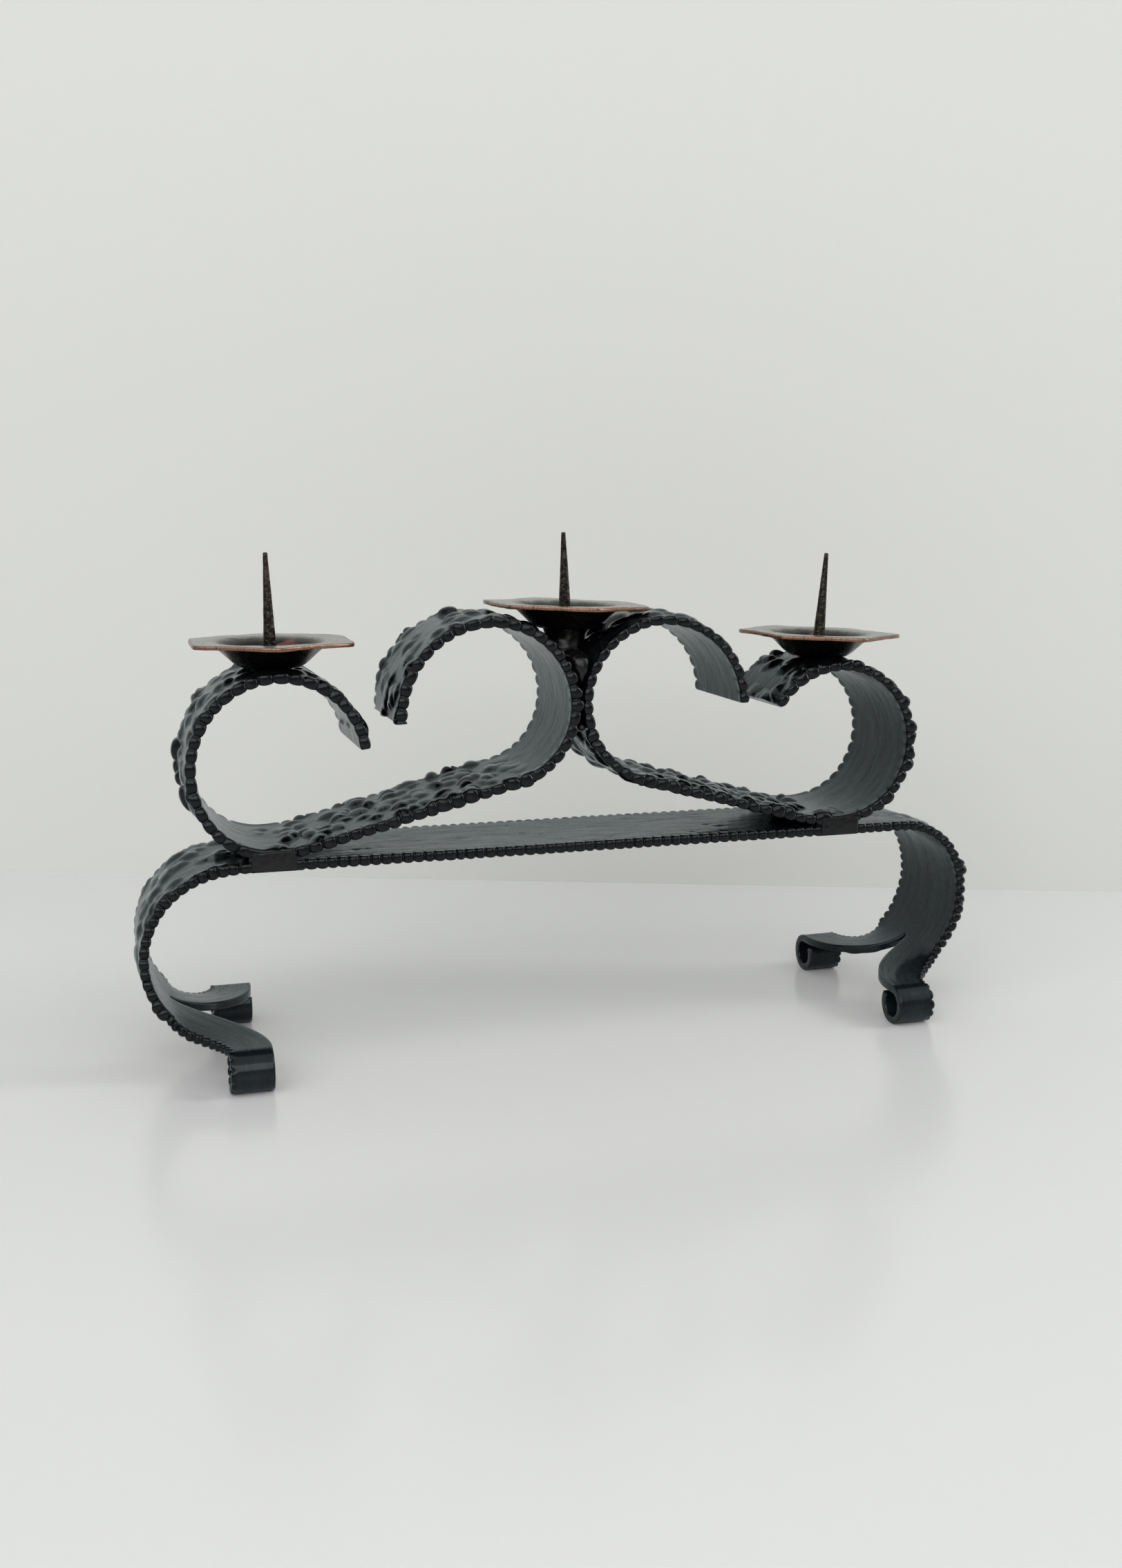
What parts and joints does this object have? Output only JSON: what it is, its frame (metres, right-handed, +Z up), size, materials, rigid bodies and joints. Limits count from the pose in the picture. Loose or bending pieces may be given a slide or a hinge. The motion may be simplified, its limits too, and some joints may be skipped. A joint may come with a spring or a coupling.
{
  "type": "candelabrum",
  "caption": "Candelabrum forged from flat iron straps: heart-like scrolls on a bench-shaped base with rolled feet carry pricket pans in a row.",
  "frame": {"origin": "on the surface the candelabrum stands on, under the middle of its length and depth", "axes": "+X along the length towards the right-hand pan, +Y from front to back across the straps, +Z up"},
  "size_m": [0.346, 0.0958, 0.2037],
  "materials": {
    "strap": "black waxed forged iron, satin with glossy hammered edges",
    "pan": "dark sheet iron with a worn, coppery rim",
    "pricket": "dark forged spike with bright specks",
    "weld": "blackened weld metal"
  },
  "bodies": {
    "root": {"base_strap": "strap", "left_scroll_strap": "strap", "right_scroll_strap": "strap", "left_base_weld": "weld", "right_base_weld": "weld", "centre_weld": "weld", "left_pan": "pan", "left_pricket": "pricket", "left_pan_weld": "weld", "middle_pan": "pan", "middle_pricket": "pricket", "middle_pan_weld": "weld", "right_pan": "pan", "right_pricket": "pricket", "right_pan_weld": "weld"}
  },
  "joints": []
}
